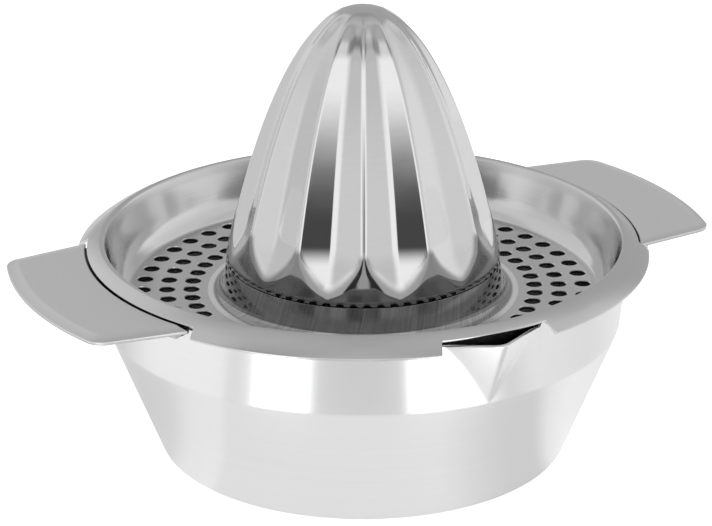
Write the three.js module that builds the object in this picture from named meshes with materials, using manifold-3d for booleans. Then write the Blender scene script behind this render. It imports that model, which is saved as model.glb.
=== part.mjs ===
// Hand citrus juicer in stainless steel: a bowl with two pouring spouts and two flat handles,
// a perforated strainer tray that rests on the bowl's rim, and a fluted reamer cone on its neck.
// Millimetres and degrees, +Z up, origin at the middle of the bowl's base.
// The handles point along X and the spouts along Y.

import * as THREE from 'three';
import { mergeVertices } from 'three/addons/utils/BufferGeometryUtils.js';
import { ConvexGeometry } from 'three/addons/geometries/ConvexGeometry.js';
import Module from 'manifold-3d';

const wasm = await Module();
wasm.setup();

// Sheet and fits
const bowlThickness = 0.8;
const trayThickness = 0.8;
const coneThickness = 0.8;
const seatGap = 0.3;
const neckGap = 0.3;
const handleGap = 0.3;
const cutOverrunLength = 4;

// Bowl
const baseRadius = 53.6;
const baseEdgeRadius = 1.6;
const creaseRadius = 67.5;
const creaseHeight = 35.2;
const rimRadius = 69.6;
const rimHeight = 55;

// Spouts, pressed out of the band between crease and rim
const spoutHalfAngle = 11.5;
const spoutLength = 5.9;
const spoutDipDepth = 1.8;
const spoutCutMarginAngle = 0.5;

// Handles
const handleLength = 20.5;
const handleThickness = 3;
const handleDropHeight = 0.3;
const handleGrooveWidth = 2.5;
const handleRootHalfAngle = 25.7;
const handleTipHalfAngle = 17.9;
const handleCornerRadius = 6.5;
const handleEdgeRadius = 1.2;
const tongueThickness = 2;
const tongueHalfAngle = 23;

// Strainer tray
const wallGap = 0.7;
const beadWidth = 1;
const beadHeight = 0.9;
const flangeWidth = 4.1;
const flangeBendRadius = 1;
const skirtFlareWidth = 1.3;
const skirtHeight = 3.2;
const skirtCornerRadius = 1.2;
const skirtCutMarginAngle = 1.7;
const trayDepth = 15;
const wallFootGap = 3.9;
const wallFilletRadius = 2.6;
const neckFootRadius = 40.5;
const neckHeight = 9.2;
const spigotHeight = 2.8;

// Strainer holes
const holesPerRing = 48;
const holeDiameter = 3.9;
// Places of the rings across the floor, from the neck's foot to the wall's foot
const holeRingShares = [0.21, 0.5, 0.79];
const holeTurnAngle = -1.6;

// Reamer cone
const coneFootRadius = 34.9;
const collarRadius = 35.4;
const collarHeight = 1.4;
const coneHeight = 68.1;
const domeFullness = 1.2;
const domeRoundness = 2.3;
const fluteCount = 12;
const fluteTurnAngle = 3.4;
const fluteTipHeight = 3.5;
const fluteRunoutHeight = 6.8;
const fluteDepthShare = 0.08;
const fluteFadeShare = 0.13;
const domeRingShares = [0.25, 0.37, 0.49, 0.6, 0.7, 0.79, 0.865, 0.925, 0.97];

// Facet counts
const roundSegments = 72;
const holeSides = 6;
const cornerSteps = 3;
const flankSteps = 3;

const rad = THREE.MathUtils.degToRad;

// Heights that follow from the stack of pieces
const flangeTop = rimHeight + seatGap + trayThickness;
const floorTop = flangeTop - trayDepth;
const seamHeight = floorTop + neckHeight + neckGap;
const lipHeight = rimHeight - spoutDipDepth;
const handleTop = rimHeight - handleDropHeight;
const bandSlope = (rimRadius - creaseRadius) / (rimHeight - creaseHeight);
const handleFoot = handleTop - handleThickness;
const tongueRadius = Math.max(bandRadiusAt(handleTop), bandRadiusAt(handleFoot)) + handleGap;
const handleRootRadius = tongueRadius + handleGrooveWidth;
const handleEndRadius = handleRootRadius + handleLength;
const mouthRadius = rimRadius - bowlThickness - wallGap - trayThickness;
const wallFootRadius = bandRadiusAt(floorTop) - bowlThickness - trayThickness - wallFootGap;
const floorWidth = wallFootRadius - neckFootRadius;
const flangeEdge = rimRadius + flangeWidth;

const steel = (color, roughness) => new THREE.MeshStandardMaterial({ color, roughness, metalness: 1 });

// Outer radius of the bowl at a height above its crease
function bandRadiusAt(height) {
  return creaseRadius + bandSlope * (height - creaseHeight);
}

// Solids and meshes

function solidOf(geometry) {
  const bare = geometry.clone();
  bare.deleteAttribute('normal');
  bare.deleteAttribute('uv');
  const merged = mergeVertices(bare, 1e-4);
  const index = merged.index.array;
  const place = merged.attributes.position.array;
  const corners = [];
  for (let i = 0; i < index.length; i += 3) {
    const [a, b, c] = [index[i], index[i + 1], index[i + 2]];
    if (a !== b && b !== c && c !== a) corners.push(a, b, c);
  }
  const outward = enclosedVolume(place, corners) > 0;
  const triVerts = new Uint32Array(corners.length);
  for (let i = 0; i < corners.length; i += 3) {
    triVerts[i] = corners[i];
    triVerts[i + 1] = outward ? corners[i + 1] : corners[i + 2];
    triVerts[i + 2] = outward ? corners[i + 2] : corners[i + 1];
  }
  const mesh = new wasm.Mesh({ numProp: 3, vertProperties: new Float32Array(place), triVerts });
  return new wasm.Manifold(mesh);
}

function enclosedVolume(place, corners) {
  const [a, b, c] = [new THREE.Vector3(), new THREE.Vector3(), new THREE.Vector3()];
  let volume = 0;
  for (let i = 0; i < corners.length; i += 3) {
    a.fromArray(place, corners[i] * 3);
    b.fromArray(place, corners[i + 1] * 3);
    c.fromArray(place, corners[i + 2] * 3);
    volume += a.dot(b.cross(c)) / 6;
  }
  return volume;
}

function meshOf(name, solid, material) {
  const { vertProperties, triVerts } = solid.getMesh();
  const geometry = new THREE.BufferGeometry();
  geometry.setAttribute('position', new THREE.BufferAttribute(new Float32Array(vertProperties), 3));
  geometry.setIndex(new THREE.BufferAttribute(new Uint32Array(triVerts), 1));
  const mesh = new THREE.Mesh(geometry.toNonIndexed(), material);
  mesh.geometry.computeVertexNormals();
  mesh.name = name;
  return mesh;
}

// A profile of [radius, height] pairs turned about Z
function turned(profile) {
  const points = profile.map(([radius, height]) => new THREE.Vector2(radius, height));
  const geometry = new THREE.LatheGeometry(points, roundSegments);
  geometry.rotateX(Math.PI / 2);
  return solidOf(geometry);
}

function arcPoints(centreRadius, centreHeight, radius, fromAngle, toAngle, steps) {
  const points = [];
  for (let i = 0; i <= steps; i++) {
    const angle = rad(fromAngle + ((toAngle - fromAngle) * i) / steps);
    points.push([centreRadius + radius * Math.cos(angle), centreHeight + radius * Math.sin(angle)]);
  }
  return points;
}

// The other face of a sheet: the line moved to its right by the sheet's thickness
function offsetLine(line, thickness) {
  return line.map((point, i) => {
    const before = line[Math.max(i - 1, 0)];
    const after = line[Math.min(i + 1, line.length - 1)];
    const inward = unit(point, before === point ? after : before, before === point ? 1 : -1);
    const onward = unit(point, after === point ? before : after, after === point ? -1 : 1);
    const bisector = [inward[1] + onward[1], -inward[0] - onward[0]];
    const reach = thickness / (1 + inward[0] * onward[0] + inward[1] * onward[1]);
    return [point[0] + bisector[0] * reach, point[1] + bisector[1] * reach];
  });
}

function unit(from, to, sense) {
  const length = Math.hypot(to[0] - from[0], to[1] - from[1]) * sense;
  return [(to[0] - from[0]) / length, (to[1] - from[1]) / length];
}

function polar(radius, angle, height) {
  return new THREE.Vector3(radius * Math.cos(rad(angle)), radius * Math.sin(rad(angle)), height);
}

// A block bent about Z; its levels give height and half angle from the bottom up
function bentBlock(innerRadius, outerRadius, levels, turn) {
  const widest = Math.max(...levels.map(([, halfAngle]) => halfAngle));
  const columns = Math.ceil((2 * widest * roundSegments) / 360);
  const block = new THREE.BoxGeometry(1, 1, 1, 1, columns, levels.length - 1);
  const place = block.attributes.position;
  for (let i = 0; i < place.count; i++) {
    const [height, halfAngle] = levels[Math.round((place.getZ(i) + 0.5) * (levels.length - 1))];
    const radius = place.getX(i) < 0 ? innerRadius : outerRadius;
    const point = polar(radius, turn + 2 * place.getY(i) * halfAngle, height);
    place.setXYZ(i, point.x, point.y, point.z);
  }
  return solidOf(block);
}

// Bowl: its outer form less its inner form, each with the two spout wedges joined on,
// and the wall taken down to a level lip at each spout

function bowlForm(inset, floor, top) {
  const slope = (creaseRadius - baseRadius) / creaseHeight;
  const edge = baseEdgeRadius;
  const profile = [
    [0, floor],
    [baseRadius + slope * floor - inset - edge, floor],
    [baseRadius + slope * (floor + edge) - inset, floor + edge],
    [creaseRadius - inset, creaseHeight],
    [rimRadius - inset + bandSlope * (top - rimHeight), top],
    [0, top],
  ];
  return turned(profile);
}

function spoutWedge(angle, inset, lift) {
  const rootRadius = creaseRadius - bowlThickness - cutOverrunLength;
  const ends = [-spoutHalfAngle, spoutHalfAngle].map((half) => angle + half);
  const points = [polar(creaseRadius - inset, angle, creaseHeight)];
  points.push(polar(rimRadius + spoutLength - inset, angle, lipHeight));
  points.push(polar(rootRadius, angle, creaseHeight));
  for (const end of ends) {
    points.push(polar(bandRadiusAt(lipHeight) - inset, end, lipHeight));
    points.push(polar(rootRadius, end, lipHeight));
  }
  if (lift > 0) {
    points.push(polar(rimRadius + spoutLength - inset, angle, lipHeight + lift));
    for (const end of ends) points.push(polar(bandRadiusAt(lipHeight) - inset, end, lipHeight + lift));
    for (const end of ends) points.push(polar(rootRadius, end, lipHeight + lift));
  }
  return solidOf(new ConvexGeometry(points));
}

function lipCut(angle) {
  const halfAngle = spoutHalfAngle + spoutCutMarginAngle;
  const levels = [[lipHeight, halfAngle], [rimHeight + cutOverrunLength, halfAngle]];
  return bentBlock(creaseRadius - cutOverrunLength, rimRadius + cutOverrunLength, levels, angle);
}

function bowl() {
  let outer = bowlForm(0, 0, rimHeight);
  let inner = bowlForm(bowlThickness, bowlThickness, rimHeight + cutOverrunLength);
  for (const angle of [-90, 90]) {
    outer = outer.add(spoutWedge(angle, 0, 0));
    inner = inner.add(spoutWedge(angle, bowlThickness, cutOverrunLength)).add(lipCut(angle));
  }
  return meshOf('bowl', outer.subtract(inner), steel(0xd9dadb, 0.25));
}

// Handle: a flat slab with a curved outer edge, its root following the bowl's band

function handle(name, turn) {
  const shape = new THREE.Shape();
  const tip = (sign) => polar(handleEndRadius, sign * handleTipHalfAngle, 0);
  const root = (sign) => polar(handleRootRadius, sign * handleRootHalfAngle, 0);
  const cornerAngle = THREE.MathUtils.radToDeg(handleCornerRadius / handleEndRadius);
  const sideLength = tip(1).distanceTo(root(1));
  const beside = (sign) => tip(sign).lerp(root(sign), handleCornerRadius / sideLength);
  const lowStart = beside(-1);
  const lowTip = tip(-1);
  const lowEnd = polar(handleEndRadius, cornerAngle - handleTipHalfAngle, 0);
  const highTip = tip(1);
  const highEnd = beside(1);
  const outerAngle = rad(handleTipHalfAngle - cornerAngle);
  const rootAngle = rad(handleRootHalfAngle);
  shape.moveTo(root(-1).x, root(-1).y);
  shape.lineTo(lowStart.x, lowStart.y);
  shape.quadraticCurveTo(lowTip.x, lowTip.y, lowEnd.x, lowEnd.y);
  shape.absarc(0, 0, handleEndRadius, -outerAngle, outerAngle, false);
  shape.quadraticCurveTo(highTip.x, highTip.y, highEnd.x, highEnd.y);
  shape.lineTo(root(1).x, root(1).y);
  shape.absarc(0, 0, handleRootRadius, rootAngle, -rootAngle, true);
  const geometry = new THREE.ExtrudeGeometry(shape, {
    depth: handleThickness - 2 * handleEdgeRadius,
    bevelThickness: handleEdgeRadius,
    bevelSize: handleEdgeRadius,
    bevelOffset: -handleEdgeRadius,
    bevelSegments: 1,
    curveSegments: 6,
  });
  geometry.translate(0, 0, handleFoot + handleEdgeRadius);
  geometry.rotateZ(rad(turn));
  const levels = [[handleFoot, tongueHalfAngle], [handleFoot + tongueThickness, tongueHalfAngle]];
  const tongue = bentBlock(tongueRadius, handleRootRadius + 2 * handleEdgeRadius, levels, turn);
  return meshOf(name, solidOf(geometry).add(tongue), steel(0xa9aaab, 0.45));
}

// Strainer: a turned sheet with a neck, a flat floor, a wall, a rolled bead and a skirt

function trayLine() {
  const spigotRadius = coneFootRadius - coneThickness - neckGap;
  const ledge = floorTop + neckHeight;
  const flareWidth = neckFootRadius - coneFootRadius;
  const flare = [];
  for (let i = 0; i <= cornerSteps; i++) {
    const angle = rad((90 * i) / cornerSteps);
    flare.push([neckFootRadius - flareWidth * Math.cos(angle), ledge - neckHeight * Math.sin(angle)]);
  }
  const wallTop = flangeTop - trayThickness;
  const lean = Math.atan2(wallTop - floorTop, mouthRadius - wallFootRadius);
  const set = wallFilletRadius * Math.tan(lean / 2);
  const footTurn = 90 - THREE.MathUtils.radToDeg(lean);
  const footHeight = floorTop + wallFilletRadius;
  const footArc = [wallFootRadius - set, footHeight, wallFilletRadius];
  const foot = arcPoints(...footArc, -90, -footTurn, cornerSteps);
  return [
    [spigotRadius, ledge + spigotHeight],
    [spigotRadius, ledge],
    ...flare,
    ...foot,
    [mouthRadius, wallTop],
    [mouthRadius + beadWidth, flangeTop],
    [flangeEdge - flangeBendRadius, flangeTop],
    [flangeEdge, flangeTop - flangeBendRadius / 2],
    [flangeEdge + skirtFlareWidth, flangeTop - skirtHeight],
  ];
}

function trayBlank() {
  const line = trayLine();
  const under = offsetLine(line, trayThickness).reverse();
  const bead = line.length - 4;
  const top = [
    ...line.slice(0, bead),
    [mouthRadius, flangeTop + beadHeight],
    [mouthRadius + beadWidth, flangeTop + beadHeight],
    [mouthRadius + 2 * beadWidth, flangeTop],
    ...line.slice(bead + 1),
  ];
  return turned([...top, ...under, top[0]]);
}

function holes() {
  const height = trayThickness + 2 * cutOverrunLength;
  const drill = new THREE.CylinderGeometry(holeDiameter / 2, holeDiameter / 2, height, holeSides);
  drill.rotateX(Math.PI / 2);
  const drills = [];
  for (const share of holeRingShares) {
    const radius = neckFootRadius + floorWidth * share;
    for (let i = 0; i < holesPerRing; i++) {
      const angle = -90 + holeTurnAngle + (360 * i) / holesPerRing;
      const place = polar(radius, angle, floorTop);
      const turnedDrill = drill.clone().rotateZ(rad(angle));
      drills.push(solidOf(turnedDrill.translate(place.x, place.y, place.z)));
    }
  }
  return wasm.Manifold.union(drills);
}

// A notch that takes the skirt away below the flange, wider at the bottom to ease its corners
function skirtNotch(angle, halfAngle) {
  const foot = flangeTop - skirtHeight;
  const eased = halfAngle + THREE.MathUtils.radToDeg(skirtCornerRadius / flangeEdge);
  const levels = [
    [foot - cutOverrunLength, eased],
    [foot, eased],
    [foot + skirtCornerRadius, halfAngle],
    [flangeTop - trayThickness, halfAngle],
  ];
  const innerRadius = flangeEdge - 2 * flangeBendRadius;
  return bentBlock(innerRadius, flangeEdge + skirtFlareWidth + cutOverrunLength, levels, angle);
}

function strainer() {
  let tray = trayBlank().subtract(holes());
  for (const angle of [-90, 90]) tray = tray.subtract(skirtNotch(angle, spoutHalfAngle));
  const handleSpan = handleRootHalfAngle + skirtCutMarginAngle;
  for (const angle of [0, 180]) tray = tray.subtract(skirtNotch(angle, handleSpan));
  return meshOf('strainer', tray, steel(0xb9babb, 0.35));
}

// Reamer cone: a domed shell with flat-sided flutes that run out to points above a plain collar

// Radius of the shell at an angle from a ridge, for the ridge radius and how far the flute has run out
function fluteRadius(ridgeRadius, angle, depth, runout) {
  const half = rad(180 / fluteCount);
  const valley = ridgeRadius - depth;
  const across = ridgeRadius * Math.sin(angle) + valley * Math.sin(half - angle);
  const flank = (ridgeRadius * valley * Math.sin(half)) / across;
  return Math.min(ridgeRadius, flank + runout);
}

function coneRing(ridgeRadius, height, depth, runout, inset) {
  const points = [];
  const columns = fluteCount * 2 * flankSteps;
  for (let i = 0; i < columns; i++) {
    const fromRidge = (i % (2 * flankSteps)) / flankSteps;
    const share = Math.min(fromRidge, 2 - fromRidge);
    const radius = fluteRadius(ridgeRadius, rad((share * 180) / fluteCount), depth, runout);
    points.push(polar(radius - inset, -90 + fluteTurnAngle + (360 * i) / columns, height));
  }
  return points;
}

function coneRings(inset) {
  const collarTop = seamHeight + collarHeight;
  const domeHeight = coneHeight - collarHeight;
  const rings = [coneRing(coneFootRadius, seamHeight, 0, 0, inset)];
  rings.push(coneRing(collarRadius, collarTop, 0, 0, inset));
  const heights = [];
  for (let i = 0; i <= cornerSteps; i++) {
    heights.push(fluteTipHeight + (fluteRunoutHeight * i) / cornerSteps);
  }
  for (const share of domeRingShares) heights.push(domeHeight * share);
  for (const height of heights) {
    const share = height / domeHeight;
    const ridgeRadius = collarRadius * (1 - share ** domeFullness) ** (1 / domeRoundness);
    const fade = Math.min(1, (1 - share) / fluteFadeShare);
    const depth = ridgeRadius * fluteDepthShare * fade;
    const runout = depth * Math.max(0, 1 - (height - fluteTipHeight) / fluteRunoutHeight);
    rings.push(coneRing(ridgeRadius, collarTop + height, depth, runout, inset));
  }
  return rings;
}

function reamerCone() {
  const apex = seamHeight + coneHeight;
  const rings = [...coneRings(0).reverse(), ...coneRings(coneThickness)];
  const count = rings[0].length;
  const outerTip = new THREE.Vector3(0, 0, apex);
  const innerTip = new THREE.Vector3(0, 0, apex - coneThickness);
  const points = [outerTip, ...rings.flat(), innerTip];
  const corner = (ring, i) => 1 + ring * count + (i % count);
  const faces = [];
  for (let i = 0; i < count; i++) {
    faces.push(0, corner(0, i), corner(0, i + 1));
    for (let ring = 0; ring + 1 < rings.length; ring++) {
      faces.push(corner(ring, i), corner(ring + 1, i), corner(ring + 1, i + 1));
      faces.push(corner(ring, i), corner(ring + 1, i + 1), corner(ring, i + 1));
    }
    faces.push(corner(rings.length - 1, i), points.length - 1, corner(rings.length - 1, i + 1));
  }
  const geometry = new THREE.BufferGeometry().setFromPoints(points);
  geometry.setIndex(faces);
  return meshOf('reamer_cone', solidOf(geometry), steel(0xe4e5e6, 0.08));
}

const juicer = new THREE.Group();
const bowlGroup = new THREE.Group();
bowlGroup.add(bowl(), handle('handle_right', 0), handle('handle_left', 180));
const strainerGroup = new THREE.Group();
strainerGroup.add(strainer(), reamerCone());
juicer.add(bowlGroup, strainerGroup);

export default juicer;
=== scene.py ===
import bpy
import math
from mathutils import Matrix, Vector


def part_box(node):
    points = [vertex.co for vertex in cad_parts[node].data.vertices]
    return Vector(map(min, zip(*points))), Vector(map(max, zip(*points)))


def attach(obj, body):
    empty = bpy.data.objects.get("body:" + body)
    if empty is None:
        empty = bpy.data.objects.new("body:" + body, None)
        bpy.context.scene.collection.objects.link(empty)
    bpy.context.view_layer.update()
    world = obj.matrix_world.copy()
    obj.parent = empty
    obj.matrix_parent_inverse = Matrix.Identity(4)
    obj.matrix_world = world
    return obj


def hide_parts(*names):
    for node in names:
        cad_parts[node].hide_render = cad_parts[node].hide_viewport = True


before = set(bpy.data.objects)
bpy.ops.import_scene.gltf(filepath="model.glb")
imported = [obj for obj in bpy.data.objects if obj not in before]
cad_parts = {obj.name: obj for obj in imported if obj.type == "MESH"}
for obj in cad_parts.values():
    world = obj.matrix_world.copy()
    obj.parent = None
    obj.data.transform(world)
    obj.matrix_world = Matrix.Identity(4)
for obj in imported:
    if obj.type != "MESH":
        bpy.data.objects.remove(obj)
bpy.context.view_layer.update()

mm = 0.001
closeBy = 0.1  # mm, how near a height or radius a vertex is picked
mergeDistance = 0.005  # mm
bowlBody = "bowl_with_handles"
trayBody = "strainer_with_cone"
coneLow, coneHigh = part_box("reamer_cone")
handleLow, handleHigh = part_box("handle_right")


def leaveEditMode():
    if bpy.context.mode != "OBJECT":
        bpy.ops.object.mode_set(mode="OBJECT")


def deselectAll():
    leaveEditMode()
    bpy.ops.object.select_all(action="DESELECT")


def pick(*objs):
    deselectAll()
    for obj in objs:
        obj.select_set(True)
    bpy.context.view_layer.objects.active = objs[0]


# opens a mesh in edit mode, with every vertex selected or none
def editVertices(obj, action):
    pick(obj)
    bpy.ops.object.mode_set(mode="EDIT")
    bpy.ops.mesh.select_mode(type="VERT")
    bpy.ops.mesh.select_all(action=action)


# selects the vertices for which test(x, y, z) in mm holds, and stays in edit mode
def selectVertices(obj, test):
    editVertices(obj, "DESELECT")
    bpy.ops.object.mode_set(mode="OBJECT")
    for vertex in obj.data.vertices:
        vertex.select = test(vertex.co.x / mm, vertex.co.y / mm, vertex.co.z / mm)
    bpy.ops.object.mode_set(mode="EDIT")


def bakePlace(obj):
    pick(obj)
    bpy.ops.object.transform_apply(location=True, rotation=True, scale=True)


def addModifier(obj, kind, **settings):
    pick(obj)
    modifier = obj.modifiers.new(kind.title(), kind)
    for key, value in settings.items():
        setattr(modifier, key, value)
    bpy.ops.object.modifier_apply(modifier=modifier.name)


def cutAway(obj, tool):
    addModifier(obj, "BOOLEAN", object=tool, operation="DIFFERENCE", solver="EXACT")
    bpy.data.objects.remove(tool)


# rounds the edges where faces meet at more than an angle
def roundEdges(obj, width, steps, angle):
    addModifier(
        obj, "BEVEL", width=width * mm, segments=steps,
        limit_method="ANGLE", angle_limit=math.radians(angle)
    )


def smooth(obj, angle):
    pick(obj)
    bpy.ops.object.shade_smooth_by_angle(angle=math.radians(angle))


def faceOutwards(obj):
    editVertices(obj, "SELECT")
    bpy.ops.mesh.remove_doubles(threshold=mergeDistance * mm)
    bpy.ops.mesh.normals_make_consistent(inside=False)
    bpy.ops.object.mode_set(mode="OBJECT")


# a closed cylinder on the axis between two heights
def makeDrum(sides, radius, low, high):
    deselectAll()
    bpy.ops.mesh.primitive_cylinder_add(
        vertices=sides, radius=radius * mm, depth=(high - low) * mm,
        location=(0, 0, (low + high) / 2 * mm)
    )
    obj = bpy.context.object
    bakePlace(obj)
    return obj


# pulls the selected ring up through the others, each a (radius, height)
def extrudeRings(rings):
    radius, height = rings[0]
    for nextRadius, nextHeight in rings[1:]:
        rise = (0, 0, (nextHeight - height) * mm)
        bpy.ops.mesh.extrude_region_move(TRANSFORM_OT_translate={"value": rise})
        scale = nextRadius / radius
        middle = (0, 0, nextHeight * mm)
        bpy.ops.transform.resize(value=(scale, scale, 1), center_override=middle)
        radius, height = nextRadius, nextHeight


# closes the selected ring with a fan of faces to its middle
def closeRing():
    bpy.ops.mesh.extrude_region_move()
    bpy.ops.mesh.merge(type="CENTER")


# a tube round Z that starts as a circle and runs through all its rings
def ringTube(name, rings, columns):
    deselectAll()
    radius, height = rings[0]
    bpy.ops.mesh.primitive_circle_add(
        vertices=columns, radius=radius * mm, location=(0, 0, height * mm)
    )
    obj = bpy.context.object
    obj.name = name
    bakePlace(obj)
    editVertices(obj, "SELECT")
    extrudeRings(rings)
    return obj


# moves each vertex off the axis to where place(radius, angle, height, number) says, in mm and degrees
def pressShape(obj, place, start=0):
    leaveEditMode()
    for vertex in obj.data.vertices[start:]:
        x, y, z = vertex.co
        radius = math.hypot(x, y) / mm
        if radius < closeBy / 10:
            continue
        angle = math.degrees(math.atan2(y, x))
        radius, angle, height = place(radius, angle, z / mm, vertex.index)
        x, y = pointAt(radius, angle)
        vertex.co = (x * mm, y * mm, height * mm)
    obj.data.update()


def pointAt(radius, angle):
    turn = math.radians(angle)
    return radius * math.cos(turn), radius * math.sin(turn)


# an angle as -180 to 180
def signedTurn(angle):
    return (angle + 180) % 360 - 180


# the size of x, with its corner at zero rounded over a width
def roundedAbs(x, width):
    x = abs(x)
    return x if x > width else (x * x + width * width) / (2 * width)


def easedShare(x, low, high):
    share = min(1, max(0, (x - low) / (high - low)))
    return share * share * (3 - 2 * share)


def arcRings(radius, height, size, first, last, steps):
    rings = []
    for i in range(steps + 1):
        out, up = pointAt(size, first + (last - first) * i / steps)
        rings.append((radius + out, height + up))
    return rings


# points every so often along a line of (radius, height) points
def evenlyAlong(line, step):
    points, carried = [line[0]], 0.0
    for (r0, z0), (r1, z1) in zip(line, line[1:]):
        length = math.hypot(r1 - r0, z1 - z0)
        while carried + length >= step:
            share = (step - carried) / length
            r0, z0 = r0 + (r1 - r0) * share, z0 + (z1 - z0) * share
            points.append((r0, z0))
            length -= step - carried
            carried = 0.0
        carried += length
    return points


# sizes in mm, angles in degrees
bowl = {
    "wall": 0.8,
    "baseRadius": 53.6,
    "baseEdge": 1.8,
    "creaseRadius": 67.5,
    "creaseHeight": 35.2,
    "creaseRound": 0.5,
    "creaseReach": 1.2,
    "rimRadius": 69.6,
    "rimHeight": 55.0,
    "spoutHalfAngle": 11.5,
    "spoutLength": 5.9,
    "spoutDip": 1.8,
    "spoutMargin": (3, 2),  # how far past its sides, and below the crease, the sheet may move
    "foldRound": 0.125,
    "ridgeRound": (0.6, 1.2),  # at the spout's foot, and how much more at its lip
    "lipEnd": 12.3,
    "lipEase": 0.5,
    "edge": 0.16,
    "edgeSteps": 2,
    "edgeAngle": 60,
    "smoothAngle": 40,
    "columns": 384,
    "evenShare": 0.35,  # 1 sets the columns evenly, and less draws them to the spouts
    "baseEdgeRows": 8,
    "lowerRows": 24,
    "creaseRows": 6,
    "upperRows": 22,
}


# how much the bowl widens with its height, below the crease and above it
def bowlSlopes():
    b = bowl
    lower = (b["creaseRadius"] - b["baseRadius"]) / b["creaseHeight"]
    return lower, (b["rimRadius"] - b["creaseRadius"]) / (b["rimHeight"] - b["creaseHeight"])


def bowlRings():
    b = bowl
    slope, bandSlope = bowlSlopes()
    creaseRadius, creaseHeight, reach = b["creaseRadius"], b["creaseHeight"], b["creaseReach"]

    # base edge: an arc that ends along the lower wall
    edge = b["baseEdge"]
    lean = math.atan(slope)
    edgeMiddle = b["baseRadius"] + slope * edge - edge / math.cos(lean)
    rings = [(edgeMiddle / 2, 0)]
    rings += arcRings(edgeMiddle, edge, edge, -90, -math.degrees(lean), b["baseEdgeRows"])

    low = rings[-1][1]
    for i in range(1, b["lowerRows"]):
        height = low + (creaseHeight - reach - low) * i / b["lowerRows"]
        rings.append((b["baseRadius"] + slope * height, height))
    # crease: where the lines of both walls cross, rounded
    for i in range(-b["creaseRows"], b["creaseRows"] + 1):
        up = reach * i / b["creaseRows"]
        below, above = creaseRadius + slope * up, creaseRadius + bandSlope * up
        rounding = b["creaseRound"] * (slope - bandSlope) / 2
        middle, half = (below + above) / 2, (below - above) / 2
        rings.append((middle - roundedAbs(half, rounding), creaseHeight + up))
    low = creaseHeight + reach
    for i in range(1, b["upperRows"] + 1):
        height = low + (b["rimHeight"] - low) * i / b["upperRows"]
        rings.append((creaseRadius + bandSlope * (height - creaseHeight), height))
    return rings


# the flat facet between the crease, the spout's tip and an end of its level lip: a normal and a reach
def spoutFacet():
    b = bowl
    lipHeight = b["rimHeight"] - b["spoutDip"]
    lipRadius = b["rimRadius"] - bowlSlopes()[1] * b["spoutDip"]
    crease = Vector((b["creaseRadius"], 0, b["creaseHeight"]))
    tip = Vector((b["rimRadius"] + b["spoutLength"], 0, lipHeight))
    end = Vector((*pointAt(lipRadius, b["spoutHalfAngle"]), lipHeight))
    normal = (end - crease).cross(tip - crease).normalized()
    return normal, normal.dot(crease)


def makeBowl():
    b = bowl
    rings = bowlRings()
    obj = ringTube("bowlShell", rings, b["columns"])
    innerRadius = rings[0][0] + closeBy
    selectVertices(obj, lambda x, y, z: math.hypot(x, y) < innerRadius and z < closeBy)
    closeRing()

    normal, reach = spoutFacet()
    creaseHeight = b["creaseHeight"]
    sideMargin, footMargin = b["spoutMargin"]
    ridgeFoot, ridgeMore = b["ridgeRound"]

    # presses the two spouts out of the band, front and back
    def place(radius, angle, height, number):
        fromSpout = angle % 180 - 90
        share = fromSpout / 90
        squeezed = 90 * (b["evenShare"] * share + (1 - b["evenShare"]) * share ** 3)
        angle += squeezed - fromSpout
        off = abs(squeezed)
        if off > b["spoutHalfAngle"] + sideMargin or height < creaseHeight - footMargin:
            return radius, angle, height
        upward = max(0, (height - creaseHeight) / (b["rimHeight"] - creaseHeight))
        dip = b["spoutDip"] * (1 - easedShare(off, b["lipEnd"] - b["lipEase"], b["lipEnd"]))
        height -= dip * upward
        ridge = math.radians(roundedAbs(off, ridgeFoot + ridgeMore * upward))
        facet = reach - normal.z * height
        facet /= normal.x * math.cos(math.radians(off)) + normal.y * math.sin(ridge)
        middle, apart = (radius + facet) / 2, (radius - facet) / 2
        return middle + roundedAbs(apart, b["foldRound"]), angle, height

    pressShape(obj, place)
    faceOutwards(obj)
    addModifier(obj, "SOLIDIFY", thickness=b["wall"] * mm, offset=-1, use_even_offset=True)
    roundEdges(obj, b["edge"], b["edgeSteps"], b["edgeAngle"])
    smooth(obj, b["smoothAngle"])
    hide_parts("bowl")
    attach(obj, bowlBody)
    print("bowl modelled:", len(obj.data.polygons), "faces")
    return obj


bowlShell = makeBowl()


handle = {
    "rootRadius": 72.6,
    "rootMargin": 8.0,  # how far the plate is made past its root, before the root is cut
    "endRadius": 92.86,
    "rootHalfAngle": 27.2,
    "tipHalfAngle": 19.2,
    "cornerRadius": 5.5,
    "cornerCuts": 7,
    "mergeGap": 0.25,
    "slopeWidth": 3.2,
    "brinkHeights": (53.1, 53.9),
    "edgeRadius": 0.38,
    "edgeSteps": 5,
    "edgeAngle": 12,
    "smoothAngle": 35,
    "tongueRadius": 69.87,
    "tongueReach": 2.2,
    "tongueLift": 0.3,
    "tongueThickness": 1.7,
    "tongueHalfAngle": 25.6,
    "leftTurn": -0.2,
    "overrun": 1,
    "sides": 240,
}


def cutCore(obj, radius, low, high):
    overrun = handle["overrun"]
    cutAway(obj, makeDrum(handle["sides"], radius, low - overrun, high + overrun))


# a flat ring, cut from a cylinder by a smaller one
def flatRing(name, innerRadius, outerRadius, low, high):
    obj = makeDrum(handle["sides"], outerRadius, low, high)
    obj.name = name
    cutCore(obj, innerRadius, low, high)
    return obj


# cuts a ring down to what lies on the inner side of a plane through a point of the XY plane
def trimSide(obj, point, normal):
    editVertices(obj, "SELECT")
    bpy.ops.mesh.bisect(
        plane_co=(point[0] * mm, point[1] * mm, 0), plane_no=normal, use_fill=True, clear_outer=True
    )
    bpy.ops.object.mode_set(mode="OBJECT")


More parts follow.
